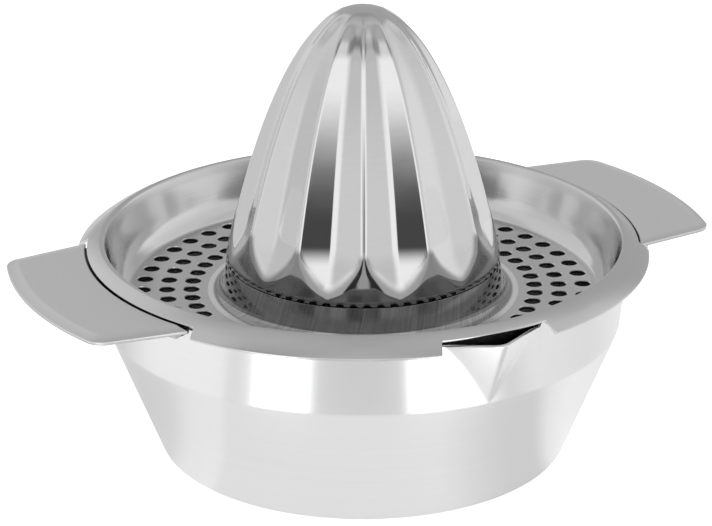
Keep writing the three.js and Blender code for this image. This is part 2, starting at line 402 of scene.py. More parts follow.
# cuts a corner of the tip down to an arc, by planes that touch the arc
def roundCorner(obj, root, side, outwards):
    h = handle
    corner, reach = h["cornerRadius"], h["endRadius"] - h["cornerRadius"]
    start = Vector((*root, 0)) - outwards * corner
    length = start.dot(side)
    along = math.sqrt(length * length - start.length_squared + reach * reach) - length
    middle = start + side * along
    for i in range(1, h["cornerCuts"]):
        normal = outwards.lerp(middle.normalized(), i / h["cornerCuts"]).normalized()
        trimSide(obj, middle + normal * corner, normal)


def handlePlate(name, low, high):
    h = handle
    obj = flatRing(name, h["rootRadius"] - h["rootMargin"], h["endRadius"], low, high)
    trimSide(obj, (0, 0), (-1, 0, 0))
    for sign in (1, -1):
        root = pointAt(h["rootRadius"], sign * h["rootHalfAngle"])
        tip = pointAt(h["endRadius"], sign * h["tipHalfAngle"])
        side = Vector((tip[0] - root[0], tip[1] - root[1], 0)).normalized()
        outwards = Vector((-sign * side.y, sign * side.x, 0))
        trimSide(obj, root, outwards)
        roundCorner(obj, root, side, outwards)
    editVertices(obj, "SELECT")
    bpy.ops.mesh.remove_doubles(threshold=h["mergeGap"] * mm)

    # both faces slope to a thin edge, the brink, before the root is cut
    for height, brink in zip((low, high), h["brinkHeights"]):
        selectVertices(obj, lambda x, y, z: abs(z - height) < closeBy)
        bpy.ops.mesh.select_mode(type="FACE")
        bpy.ops.mesh.inset(thickness=h["slopeWidth"] * mm)
        bpy.ops.object.mode_set(mode="OBJECT")
        for vertex in obj.data.vertices:
            if not vertex.select and abs(vertex.co.z / mm - height) < closeBy:
                vertex.co.z = brink * mm
    cutCore(obj, h["rootRadius"], low, high)
    roundEdges(obj, h["edgeRadius"], h["edgeSteps"], h["edgeAngle"])
    return obj


# the lower, narrower ledge that reaches in under the rim to the band
def handleTongue(low):
    h = handle
    outerRadius = h["rootRadius"] + h["tongueReach"]
    foot, top = low + h["tongueLift"], low + h["tongueThickness"]
    obj = flatRing("tongue", h["tongueRadius"], outerRadius, foot, top)
    for sign in (1, -1):
        side = math.radians(sign * h["tongueHalfAngle"])
        trimSide(obj, (0, 0), (-sign * math.sin(side), sign * math.cos(side), 0))
    trimSide(obj, (0, 0), (-1, 0, 0))
    return obj


def makeHandle(name, node, turn):
    low, high = handleLow.z / mm, handleHigh.z / mm
    obj = handlePlate(name, low, high)
    tongue = handleTongue(low)
    pick(obj, tongue)
    bpy.ops.object.join()
    obj.rotation_euler.z = math.radians(turn)
    bakePlace(obj)
    smooth(obj, handle["smoothAngle"])
    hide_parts(node)
    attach(obj, bowlBody)
    return obj


rightHandle = makeHandle("rightHandlePlate", "handle_right", 0)
leftHandle = makeHandle("leftHandlePlate", "handle_left", 180 + handle["leftTurn"])
print("handles modelled")


tray = {
    "wall": 0.8,
    "floorTop": 42.0,
    "spigotRadius": 33.8,
    "spigotHeight": 2.8,
    "spigotFoot": ((0, 0.3), (0.2, 0.05)),  # its points, out from the spigot and up from the ledge
    "ledgeRadius": 35.7,
    "ledgeHeight": 50.3,
    "ledgeEdge": 0.04,
    "neckLean": 11.0,
    "neckFillet": 3.0,
    "neckRows": 5,
    "neckFilletRows": 14,
    "wallFootRadius": 61.7,
    "wallFillet": 1.4,
    "wallFilletRows": 6,
    "wallBend": (64.3, 45.1),
    "bendShares": (0.4, 0.25),  # where the bend starts below its middle and ends above it
    "bendRows": 8,
    "wallRows": 6,
    "mouthRadius": 67.3,
    "rimTop": 56.95,
    "rollRadius": 1.1,
    "rollEnd": 66.0,
    "rollRows": 8,
    "footRadius": 74.8,
    "footHeight": 53.0,
    "rimRows": 20,
    "sheetEdge": 0.3,
    "sheetEdgeRows": 3,
    "spoutCut": 11.5,
    "spoutCutFrom": 2.9,
    "handleCut": 28.0,
    "handleCutFrom": 3.8,
    "cutEase": 0.8,
    "cutMargin": 0.1,
    "cutClear": 0.4,
    "cutSteps": 14,
    "columnAngle": 1.5,
    "holeRings": (45.1, 51.5, 57.9),
    "holesPerRing": 48,
    "holeDiameter": 4.0,
    "holeRim": 0.28,
    "holeTurn": -2.3,
    "holeSides": 24,
    "punchReach": 2,
    "smoothAngle": 32,
}


# the small roll at the mouth and the wide arc from it to the foot: the roll's middle, and the
# arc's middle and radius
def rimArcs():
    t = tray
    roll = t["rollRadius"]
    rollMiddle = Vector((t["mouthRadius"] + roll, t["rimTop"] - roll))
    outward = Vector(pointAt(1, t["rollEnd"]))
    foot = Vector((t["footRadius"], t["footHeight"])) - rollMiddle
    more = (foot.length_squared - roll * roll) / (2 * (roll - foot.dot(outward)))
    return rollMiddle, rollMiddle - outward * more, roll + more


# the sheet's upper face over the spigot and the ledge and down the neck to the floor
def neckLine():
    t = tray
    spigotRadius, ledgeRadius, ledgeHeight = t["spigotRadius"], t["ledgeRadius"], t["ledgeHeight"]
    floorTop, fillet, lean = t["floorTop"], t["neckFillet"], math.radians(t["neckLean"])
    line = [(spigotRadius, ledgeHeight + t["spigotHeight"])]
    line += [(spigotRadius + out, ledgeHeight + up) for out, up in t["spigotFoot"]]
    line.append((ledgeRadius - t["ledgeEdge"], ledgeHeight))
    # steep at first, then a wide fillet into the floor
    top, filletTop = ledgeHeight - t["ledgeEdge"], floorTop + fillet * (1 - math.sin(lean))
    for i in range(t["neckRows"]):
        height = top + (filletTop - top) * i / t["neckRows"]
        line.append((ledgeRadius + math.tan(lean) * (ledgeHeight - height), height))
    footRadius = ledgeRadius + math.tan(lean) * (ledgeHeight - filletTop) + fillet * math.cos(lean)
    arc = (footRadius, floorTop + fillet, fillet, 180 + t["neckLean"], 270, t["neckFilletRows"])
    return line + arcRings(*arc)


# the sheet's upper face from the floor up the wall and over the roll
def wallLine():
    t = tray
    floorTop, footRadius, fillet = t["floorTop"], t["wallFootRadius"], t["wallFillet"]
    bendRadius, bendHeight = t["wallBend"]
    rollMiddle = rimArcs()[0]
    lean = math.degrees(math.atan2(bendHeight - floorTop, bendRadius - footRadius))
    footMiddle = footRadius - fillet * math.tan(math.radians(lean / 2))
    line = arcRings(footMiddle, floorTop + fillet, fillet, -90, lean - 90, t["wallFilletRows"])
    lean = math.degrees(math.atan2(rollMiddle.y - bendHeight, t["mouthRadius"] - bendRadius))
    roll = arcRings(*rollMiddle, t["rollRadius"], lean + 90, t["rollEnd"], t["rollRows"])
    # a soft bend between the slanting foot and the steeper part
    foot, bend, top = Vector(line[-1]), Vector(t["wallBend"]), Vector(roll[0])
    startShare, endShare = t["bendShares"]
    start, end = foot.lerp(bend, startShare), bend.lerp(top, endShare)
    for i in range(t["bendRows"] + 1):
        share = i / t["bendRows"]
        line.append(tuple(start.lerp(bend, share).lerp(bend.lerp(end, share), share)))
    for i in range(1, t["wallRows"]):
        line.append(tuple(end.lerp(top, i / t["wallRows"])))
    return line + roll[:-1]


# the other face of the sheet: each point moved to the right of the line by the wall
def underLine(line, wall):
    moved = []
    for i, (radius, height) in enumerate(line):
        arrive = leave = None
        if i:
            arrive = Vector((radius - line[i - 1][0], height - line[i - 1][1])).normalized()
        if i + 1 < len(line):
            leave = Vector((line[i + 1][0] - radius, line[i + 1][1] - height)).normalized()
        arrive, leave = arrive or leave, leave or arrive
        reach = wall / (1 + arrive.dot(leave))
        moved.append((radius + (arrive.y + leave.y) * reach, height - (arrive.x + leave.x) * reach))
    return moved


# the point of the wide arc at a distance along it and a depth in the sheet
def rimPoint(distance, depth):
    middle, size = rimArcs()[1:]
    turn = math.radians(tray["rollEnd"]) - distance / size
    return middle.x + (size - depth) * math.cos(turn), middle.y + (size - depth) * math.sin(turn)


def rimLength():
    middle, size = rimArcs()[1:]
    footTurn = math.atan2(tray["footHeight"] - middle.y, tray["footRadius"] - middle.x)
    return size * (math.radians(tray["rollEnd"]) - footTurn)


# distances and depths along the rim's upper face, its rounded edge and its under face
def rimMarks():
    t = tray
    length, wall, edge = rimLength(), t["wall"], t["sheetEdge"]
    marks = [((length - edge) * i / t["rimRows"], 0) for i in range(t["rimRows"] + 1)]
    for i in range(1, t["sheetEdgeRows"] + 1):
        turn = math.radians(90 * i / t["sheetEdgeRows"])
        marks.append((length - edge + edge * math.sin(turn), edge - edge * math.cos(turn)))
    return marks + [(distance, wall - depth) for distance, depth in reversed(marks)]


# the cuts in the rim: the angle of each one's middle from the back, its half width and how far
# along the rim it starts
def rimCuts():
    t = tray
    spout = (t["spoutCut"], t["spoutCutFrom"])
    grip = (t["handleCut"], t["handleCutFrom"])
    return ((0, *spout), (90, *grip), (180, *spout), (270, *grip))


# where the tray's columns stand, measured from the back: evenly, and closer at the sides of each cut
def trayAngles():
    t = tray
    angles = [t["columnAngle"] * i for i in range(round(360 / t["columnAngle"]))]
    for middle, cut, start in rimCuts():
        near, far = cut - t["cutMargin"], cut + t["cutEase"] + t["cutMargin"]
        low, high = near - t["cutClear"], far + t["cutClear"]
        for sign in (-1, 1):
            angles = [a for a in angles if not low < sign * signedTurn(a - middle) < high]
            steps = [near + (far - near) * i / t["cutSteps"] for i in range(t["cutSteps"] + 1)]
            angles += [(middle + sign * step) % 360 for step in steps]
    return sorted(angles)


# how far along the rim the sheet goes at an angle from the back
def rimEnd(fromBack):
    end = length = rimLength()
    for middle, cut, start in rimCuts():
        off = abs(signedTurn(fromBack - middle))
        share = easedShare(off, cut, cut + tray["cutEase"])
        end = min(end, start + (length - start) * share)
    return end


def makeTraySheet():
    t = tray
    above = neckLine() + wallLine()
    marks = rimMarks()
    rim = [rimPoint(distance, depth) for distance, depth in marks]
    under = underLine(above + rim[:1], t["wall"])[:-1]
    rings = above + rim + list(reversed(under)) + above[:1]
    angles = trayAngles()
    obj = ringTube("strainerTray", rings, len(angles))
    step = 360 / len(angles)
    length, edge = rimLength(), t["sheetEdge"]

    # sets the columns at their angles, and draws the rim in at the cuts
    def place(radius, angle, height, number):
        fromBack = angles[round(((angle - 90) % 360) / step) % len(angles)]
        ring = number // len(angles) - len(above)
        if 0 <= ring < len(marks):
            distance, depth = marks[ring]
            end = rimEnd(fromBack)
            if distance > length - edge - closeBy:
                distance += end - length
            else:
                distance *= (end - edge) / (length - edge)
            radius, height = rimPoint(distance, depth)
        return radius, 90 + fromBack, height

    pressShape(obj, place)
    faceOutwards(obj)
    return obj


# one punch with a flared top, copied to every hole
def holePunches():
    t = tray
    floorTop, rim, reach = t["floorTop"], t["holeRim"], t["punchReach"]
    punch = makeDrum(t["holeSides"], t["holeDiameter"] / 2, floorTop - reach, floorTop + reach)
    for height in (floorTop - rim, floorTop):
        editVertices(punch, "SELECT")
        bpy.ops.mesh.bisect(plane_co=(0, 0, height * mm), plane_no=(0, 0, 1))
    selectVertices(punch, lambda x, y, z: z > floorTop - rim / 2)
    flare = 1 + 2 * rim / t["holeDiameter"]
    middle = (0, 0, floorTop * mm)
    bpy.ops.transform.resize(value=(flare, flare, 1), center_override=middle)
    bpy.ops.object.mode_set(mode="OBJECT")
    punches = []
    for radius in t["holeRings"]:
        for i in range(t["holesPerRing"]):
            x, y = pointAt(radius, -90 + t["holeTurn"] + 360 * i / t["holesPerRing"])
            copy = punch.copy()
            copy.data = punch.data.copy()
            copy.location = (x * mm, y * mm, 0)
            bpy.context.scene.collection.objects.link(copy)
            punches.append(copy)
    bpy.data.objects.remove(punch)
    pick(*punches)
    bpy.ops.object.join()
    return bpy.context.object


def makeTray():
    obj = makeTraySheet()
    cutAway(obj, holePunches())
    smooth(obj, tray["smoothAngle"])
    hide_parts("strainer")
    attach(obj, trayBody)
    print("tray modelled:", len(obj.data.polygons), "faces")
    return obj


strainerTray = makeTray()


cone = {
    "wall": 0.8,
    "footRadius": 35.72,
    "footEdge": 0.04,
    "footPick": 0.05,  # how near its height the foot's edge is picked, with the ring above it
    "lipHeight": 0.7,
    "lipFlare": 0.04,
    "collarRadius": 35.8,
    "collarHeight": 1.4,
    "fullness": 1.07,
    "roundness": 2.22,
    "flutes": 12,
    "turn": 3.4,
    "tipHeight": 1.3,
    "runout": 9.0,
    "runoutEase": 0.3,
    "depthShare": 0.08,
    "fadeShare": 0.05,
    "crestRound": 1.6,
    "valleyRound": 2.6,
    "mostRound": 5,  # degrees
    "tipRound": 0.4,
    "plainRadius": 0.5,  # nearer the axis there are no flutes
    "pressedDepths": (0.12, 0.55),  # where the sheet starts to count as pressed for the painted foot shade, and does fully
    "smoothAngle": 60,
    "halfFluteAngles": (
        0, 0.4, 0.8, 1.3, 2, 3, 4, 5, 6, 7, 8, 9, 10, 11, 12, 13, 13.7, 14.35
    ),
    "profilePoints": 2000,
    "profileEase": 0.7,
    "closeRowsTo": 12,
    "closeStep": 0.36,
    "wideStep": 0.95,
    "stepChange": 0.5,
    "lastRadius": 0.3,
    "innerRings": 24,
}
halfFlute = 180 / cone["flutes"]
coneSeam = coneLow.z / mm
collarTop = coneSeam + cone["collarHeight"]
domeHeight = coneHigh.z / mm - collarTop


# radius of the crests at a share of the dome's height
def crestRadius(share):
    c = cone
    return c["collarRadius"] * (1 - share ** c["fullness"]) ** (1 / c["roundness"])


# radius at an angle off the nearest crest, for the crest's radius there
def fluteRadius(crest, off, height):
    c = cone
    above = height - collarTop
    if above <= 0 or crest < c["plainRadius"]:
        return crest
    share = min(1, above / domeHeight)
    depth = crest * c["depthShare"] * min(1, (1 - share) / c["fadeShare"])
    left = 1 - (above - c["tipHeight"]) / c["runout"]
    runout = depth * max(0, (left + roundedAbs(left, c["runoutEase"])) / 2)
    crestTurn, valleyTurn = (
        min(math.degrees(width / 2 / crest), c["mostRound"])
        for width in (c["crestRound"], c["valleyRound"])
    )
    off = roundedAbs(off, crestTurn)
    off = halfFlute - roundedAbs(halfFlute - off, valleyTurn)
    valley = crest - depth
    a, b = math.radians(off), math.radians(halfFlute)
    flank = crest * valley * math.sin(b) / (crest * math.sin(a) + valley * math.sin(b - a)) + runout
    if runout <= 0:
        return flank
    middle, apart = (crest + flank) / 2, (crest - flank) / 2
    return middle - roundedAbs(apart, c["tipRound"] * min(1, runout))


# rings of the crests, from the foot's edge up the collar and over the dome
def coneRings():
    c = cone
    line = []
    for i in range(c["profilePoints"] + 1):
        share = (i / c["profilePoints"]) ** c["profileEase"]
        line.append((crestRadius(share), share * domeHeight))
    low = evenlyAlong([point for point in line if point[1] < c["closeRowsTo"]], c["closeStep"])
    highFrom = low[-1][1] + c["stepChange"]
    high = evenlyAlong([point for point in line if point[1] >= highFrom], c["wideStep"])
    foot, edge = c["footRadius"], c["footEdge"]
    rings = [(foot - edge, coneSeam), (foot, coneSeam + edge)]
    rings.append((foot + c["lipFlare"], coneSeam + c["lipHeight"]))
    dome = [(radius, collarTop + height) for radius, height in low + high]
    return rings + [ring for ring in dome if ring[0] > c["lastRadius"]]


# rings of the inner wall, from the foot's edge to the dome
def innerRings():
    c = cone
    wall = c["wall"]
    rings = [(c["footRadius"] - c["footEdge"], coneSeam)]
    rings += [(c["footRadius"] - wall, coneSeam), (c["collarRadius"] - wall, collarTop)]
    for i in range(1, c["innerRings"]):
        share = i / c["innerRings"]
        rings.append((crestRadius(share) - wall, collarTop + share * domeHeight - wall * share))
    return rings


# the angle from the nearest crest
def offCrest(fromCrest):
    return min(fromCrest, 2 * halfFlute - fromCrest)


def makeCone():
    c = cone
    half = c["halfFluteAngles"]
    ladder = [*half, halfFlute] + [2 * halfFlute - angle for angle in reversed(half[1:])]
    columns = c["flutes"] * len(ladder)
    firstCrest = -90 + c["turn"]
    obj = ringTube("fluteCone", coneRings(), columns)
    closeRing()
    bpy.ops.object.mode_set(mode="OBJECT")
    apex = max(obj.data.vertices, key=lambda vertex: vertex.co.z)
    apex.co.z = coneHigh.z

    def place(radius, angle, height, number):
        column = round((angle + 360) / 360 * columns) % columns
        flute, within = divmod(column, len(ladder))
        angle = firstCrest + flute * 2 * halfFlute + ladder[within]
        return fluteRadius(radius, offCrest(ladder[within]), height), angle, height

    pressShape(obj, place)
    faceOutwards(obj)

    outerCount = len(obj.data.vertices)
    selectVertices(obj, lambda x, y, z: abs(z - coneSeam) < c["footPick"])
    extrudeRings(innerRings())
    closeRing()

    def placeInner(radius, angle, height, number):
        off = offCrest((angle - firstCrest) % (2 * halfFlute))
        return fluteRadius(radius + c["wall"], off, height) - c["wall"], angle, height

    pressShape(obj, placeInner, outerCount)
    faceOutwards(obj)
    smooth(obj, c["smoothAngle"])

    # marks where the sheet is pressed in, for the painted shade at the cone's foot
    pressed = obj.data.attributes.new("pressed", "FLOAT", "POINT")
    for vertex in obj.data.vertices:
        share = min(1, max(0, (vertex.co.z / mm - collarTop) / domeHeight))
        depth = crestRadius(share) - math.hypot(vertex.co.x, vertex.co.y) / mm
        pressed.data[vertex.index].value = easedShare(depth, *c["pressedDepths"])
    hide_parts("reamer_cone")
    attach(obj, trayBody)
    print("cone modelled:", len(obj.data.polygons), "faces")
    return obj


fluteCone = makeCone()


# gives an input a number, or links a socket to it
def feed(tree, socket, value):
    if isinstance(value, (int, float)):
        socket.default_value = value
    else:
        tree.links.new(value, socket)


def calculate(tree, operation, *values):
    node = tree.nodes.new("ShaderNodeMath")
    node.operation = operation
    for socket, value in zip(node.inputs, values):
        feed(tree, socket, value)
    return node.outputs["Value"]


def times(tree, a, b):
    return calculate(tree, "MULTIPLY", a, b)


# goes smoothly from one value to another while the source goes from low to high
def easeBetween(tree, source, low, high, first=0.0, last=1.0):
    node = tree.nodes.new("ShaderNodeMapRange")
    node.interpolation_type = "SMOOTHSTEP"
    for name, value in (("From Min", low), ("From Max", high), ("To Min", first), ("To Max", last)):
        node.inputs[name].default_value = value
    tree.links.new(source, node.inputs["Value"])
    return node.outputs["Result"]


def mixValues(tree, share, a, b):
    node = tree.nodes.new("ShaderNodeMix")
    node.data_type = "FLOAT"
    for name, value in (("Factor", share), ("A", a), ("B", b)):
        feed(tree, node.inputs[name], value)
    return node.outputs["Result"]


def noiseOf(tree, place, scale, detail):
    node = tree.nodes.new("ShaderNodeTexNoise")
    node.inputs["Scale"].default_value = scale
    node.inputs["Detail"].default_value = detail
    tree.links.new(place, node.inputs["Vector"])
    return node.outputs["Fac"]


def bumpOf(tree, height, strength, distance, before=None):
    node = tree.nodes.new("ShaderNodeBump")
    node.inputs["Strength"].default_value = strength
    node.inputs["Distance"].default_value = distance
    tree.links.new(height, node.inputs["Height"])
    if before:
        tree.links.new(before, node.inputs["Normal"])
    return node.outputs["Normal"]


def joined(tree, x, y):
    node = tree.nodes.new("ShaderNodeCombineXYZ")
    tree.links.new(x, node.inputs["X"])
    tree.links.new(y, node.inputs["Y"])
    return node.outputs["Vector"]


def splitUp(tree, vector):
    node = tree.nodes.new("ShaderNodeSeparateXYZ")
    tree.links.new(vector, node.inputs["Vector"])
    return node.outputs["X"], node.outputs["Y"], node.outputs["Z"]


def fromAxis(tree, x, y):
    squares = calculate(tree, "ADD", times(tree, x, x), times(tree, y, y))
    return calculate(tree, "SQRT", squares)


# places and widths in metres; all pieces have the first seven values, and the rest are details
finish = {
    "cone": {
        "colour": 0.7, "roughness": 0.05, "spread": 0.0,
        "lines": 0.01, "lineScale": 900, "wave": 0.16, "waveScale": 42,
        "footShade": 0.4, "footTop": 0.064, "footEase": 0.002,
    },
    "tray": {
        "colour": 0.67, "roughness": 0.24, "spread": 0.6,
        "lines": 0.05, "lineScale": 1400, "wave": 0.05, "waveScale": 60,
        # the neck's dark polished colour is painted shade, and the pale ring's colour is a painted
        # highlight
        "polishedTo": 0.0393, "polishedEase": 0.0004, "polishedColour": 0.31,
        "polishedRoughness": 0.07, "scratchDepth": 0.5, "scratchScale": 2200,
        "scratchSlant": 1.2, "scratchStretch": 0.06,
        "paleFrom": 0.0406, "paleTo": 0.041, "paleColour": 0.92,
        "wallFrom": 0.0612, "wallTo": 0.0672, "wallEase": 0.0006, "wallRoughness": 0.12,
        "holeShade": 0.25, "holeDepths": (0.0002, 0.0001),
    },
    "bowl": {
        "colour": 0.84, "roughness": 0.22, "spread": 0.7,
        "lines": 0.03, "lineScale": 1100, "wave": 0.03, "waveScale": 40,
        "insideShade": 0.45, "insideFrom": (0.0005, 0.0003), "insideAbove": (0.0003, 0.0005),
    },
    "handle": {
        "colour": 0.87, "roughness": 0.38, "spread": 0.0,
        "lines": 0.06, "lineScale": 1600, "wave": 0.02, "waveScale": 80,
        "slopeShade": 0.86, "edgeShade": 0.72, "edgeEase": 0.0006, "topEase": 0.0001,
        "rootShade": 0.03, "rootEase": (0.0001, 0.0003),
    },
}
sheetLook = {
    "lineDetail": 3,
    "waveDetail": 2,
    "scratchDetail": 2,
    "roughnessChange": 0.15,
    "colourChange": 0.05,
    "lineHeight": 0.0001,
    "waveHeight": 0.001,
    "spreadTurn": 0.25,
}


# painted shade: the foot of the cone is darker where it isn't pressed
def detailCone(tree, look, at, colour, rough):
    pressed = tree.nodes.new("ShaderNodeAttribute")
    pressed.attribute_name = "pressed"
    top = look["footTop"]
    low = easeBetween(tree, at["z"], top - look["footEase"], top, 1.0, 0.0)
    # painted shade on the unpressed foot, blended out where the flutes are pressed
    paintedFootShade = times(tree, low, calculate(tree, "SUBTRACT", 1.0, pressed.outputs["Fac"]))
    return times(tree, colour, mixValues(tree, paintedFootShade, 1.0, look["footShade"])), rough


def detailTray(tree, look, at, colour, rough):
    away = at["away"]
    # the neck is polished like the cone, with fine slanting scratches; its dark colour is painted
    # shade round the cone's foot, and the pale ring at its foot is a painted highlight
    neckEnd, ease = look["polishedTo"], look["polishedEase"]
    satin = easeBetween(tree, away, neckEnd - ease, neckEnd + ease)
    turn = times(tree, calculate(tree, "ARCTAN2", at["y"], at["x"]), neckEnd)
    slant = calculate(tree, "ADD", turn, times(tree, away, look["scratchSlant"]))
    across = times(tree, calculate(tree, "SUBTRACT", turn, away), look["scratchStretch"])
    grain = joined(tree, slant, across)
    scratches = noiseOf(tree, grain, look["scratchScale"], sheetLook["scratchDetail"])
    dark, bright = 1 - look["scratchDepth"], 1 + look["scratchDepth"]
    # painted shade: the polished neck's colour is kept dark to match the cone's foot
    shadedNeckColour = look["polishedColour"]
    polished = mixValues(tree, scratches, shadedNeckColour * dark, shadedNeckColour * bright)
    # painted highlight: a pale ring at the neck's foot
    paleHighlight = easeBetween(tree, away, look["paleFrom"], look["paleTo"], 1.0, 0.0)
    colour = mixValues(tree, satin, polished, mixValues(tree, paleHighlight, colour, look["paleColour"]))
    rough = mixValues(tree, satin, look["polishedRoughness"], rough)

    # the wall inside the tray is brighter polished than its floor and rim
    ease = look["wallEase"]
    wallFoot = easeBetween(tree, away, look["wallFrom"], look["wallFrom"] + ease)
    wallTop = easeBetween(tree, away, look["wallTo"] - ease, look["wallTo"], 1.0, 0.0)
    rough = mixValues(tree, times(tree, wallFoot, wallTop), rough, look["wallRoughness"])

    # painted shade: the cut edges of the holes are darkened below the floor's face
    deep, shallow = (tray["floorTop"] * mm - depth for depth in look["holeDepths"])
    below = easeBetween(tree, at["z"], deep, shallow, look["holeShade"], 1.0)
    return times(tree, colour, below), rough


# painted shade: the bowl is darker inside, from the middle of its sheet inwards
def detailBowl(tree, look, at, colour, rough):
    slope, bandSlope = bowlSlopes()
    bandFoot = (bowl["creaseRadius"] - bandSlope * bowl["creaseHeight"]) * mm
    lowerWall = calculate(tree, "MULTIPLY_ADD", at["z"], slope, bowl["baseRadius"] * mm)
    band = calculate(tree, "MULTIPLY_ADD", at["z"], bandSlope, bandFoot)
    face = calculate(tree, "MINIMUM", lowerWall, band)
    outwards = calculate(tree, "SUBTRACT", at["away"], face)
    deep, shallow = look["insideFrom"]
    outside = easeBetween(tree, outwards, -deep, -shallow)
    above = easeBetween(tree, at["z"], *look["insideAbove"])
    inside = times(tree, above, calculate(tree, "SUBTRACT", 1.0, outside))
    return times(tree, colour, mixValues(tree, inside, 1.0, look["insideShade"])), rough


# painted shade: the handles are darker on their slopes and sides, and painted dark as shadow in the
# gap at the bowl
def detailHandle(tree, look, at, colour, rough):
    brink, rootEnd = handle["brinkHeights"][1] * mm, handle["rootRadius"] * mm
    top = handleHigh.z - look["topEase"]
    slope = easeBetween(tree, at["z"], brink, top, look["slopeShade"], 1.0)
    edge = easeBetween(tree, at["z"], brink - look["edgeEase"], brink, look["edgeShade"], 1.0)
    colour = times(tree, colour, times(tree, slope, edge))
    # painted shadow in the gap between the handle's root and the bowl
    before, after = look["rootEase"]
    root = easeBetween(tree, at["away"], rootEnd - before, rootEnd + after, look["rootShade"], 1.0)
    return times(tree, colour, root), rough


def steel(name, look, detail):
    material = bpy.data.materials.new(name)
    material.use_nodes = True
    tree = material.node_tree
    shader = tree.nodes["Principled BSDF"]
    shader.inputs["Metallic"].default_value = 1.0
    s = sheetLook

    place = tree.nodes.new("ShaderNodeTexCoord").outputs["Object"]
    x, y, z = splitUp(tree, place)
    away = fromAxis(tree, x, y)

    # spinning lines: noise along the distance from the axis and the height, none round the axis
    lines = noiseOf(tree, joined(tree, away, z), look["lineScale"], s["lineDetail"])
    # broad unevenness of the polish
    cloud = noiseOf(tree, place, look["waveScale"], s["waveDetail"])

    low, high = 1 - s["roughnessChange"], 1 + s["roughnessChange"]
    rough = mixValues(tree, cloud, look["roughness"] * low, look["roughness"] * high)
    colour = mixValues(tree, lines, look["colour"] * (1 - s["colourChange"]), look["colour"])
    normal = bumpOf(tree, lines, look["lines"], s["lineHeight"])
    normal = bumpOf(tree, cloud, look["wave"], s["waveHeight"], normal)
    at = {"x": x, "y": y, "z": z, "away": away}
    colour, rough = detail(tree, look, at, colour, rough)

    tint = tree.nodes.new("ShaderNodeCombineColor")
    for channel in ("Red", "Green", "Blue"):
        tree.links.new(colour, tint.inputs[channel])
    tree.links.new(tint.outputs["Color"], shader.inputs["Base Color"])
    tree.links.new(rough, shader.inputs["Roughness"])
    tree.links.new(normal, shader.inputs["Normal"])

    # a spun finish spreads reflections across its lines
    if look["spread"] > 0:
        shader.inputs["Anisotropic"].default_value = look["spread"]
        shader.inputs["Anisotropic Rotation"].default_value = s["spreadTurn"]
        ringLines = tree.nodes.new("ShaderNodeTangent")
        ringLines.direction_type = "RADIAL"
        ringLines.axis = "Z"
        tree.links.new(ringLines.outputs["Tangent"], shader.inputs["Tangent"])
    return material


def dress(obj, material):
    obj.data.materials.clear()
    obj.data.materials.append(material)


mirrorSteel = steel("mirrorSteel", finish["cone"], detailCone)
satinTraySteel = steel("satinTraySteel", finish["tray"], detailTray)
polishedBowlSteel = steel("polishedBowlSteel", finish["bowl"], detailBowl)
brushedHandleSteel = steel("brushedHandleSteel", finish["handle"], detailHandle)
for obj, nodeName, material in (
    (bowlShell, "bowl", polishedBowlSteel),
    (strainerTray, "strainer", satinTraySteel),
    (fluteCone, "reamer_cone", mirrorSteel),
    (rightHandle, "handle_right", brushedHandleSteel),
    (leftHandle, "handle_left", brushedHandleSteel),
):
    dress(obj, material)
    dress(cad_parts[nodeName], material)
print("finishes set")


studio = {
    "cameraAzimuth": -27.0,
    "cameraElevation": 21.5,
    "cameraDistance": 0.787,
    "aimHeight": 0.0486,
    "focalPixels": 3000,
    "frameWidth": 712,
    "axisPixel": 363.1,
    "sensorWidth": 36,
    "clipping": (0.01, 20),
    "floorSize": 6,
    "floorColour": (0.8, 0.8, 0.8),
    "floorRoughness": 0.9,
    "floorGlow": 0.8,
    "floorSplit": (0.096, 0.104),
    "backdrop": 1.6,
}
# glow of the floor in reflections, near the bowl and farther off, by the angle from the camera's side
floorZones = (
    (
        (-180, 0.3), (-90, 0.24), (-72, 0.28), (-62, 0.42), (-48, 0.45), (-45, 0.36), (0, 0.355),
        (24, 0.36), (36, 0.27), (46, 0.21), (60, 0.2), (68, 0.42), (80, 0.5), (180, 0.3),
    ),
    (
        (-180, 0.25), (-104, 0.2), (-90, 0.4), (-80, 0.5), (-52, 0.48), (-47, 0.46), (-46, 0.26),
        (-37.5, 0.4), (-35, 1.4), (-19, 1.4), (-16, 0.2), (0, 0.16), (13.5, 0.2), (16, 1.4),
        (38, 1.4), (43, 0.5), (50, 0.22), (60, 0.4), (90, 0.32), (120, 0.4), (180, 0.25),
    ),
)
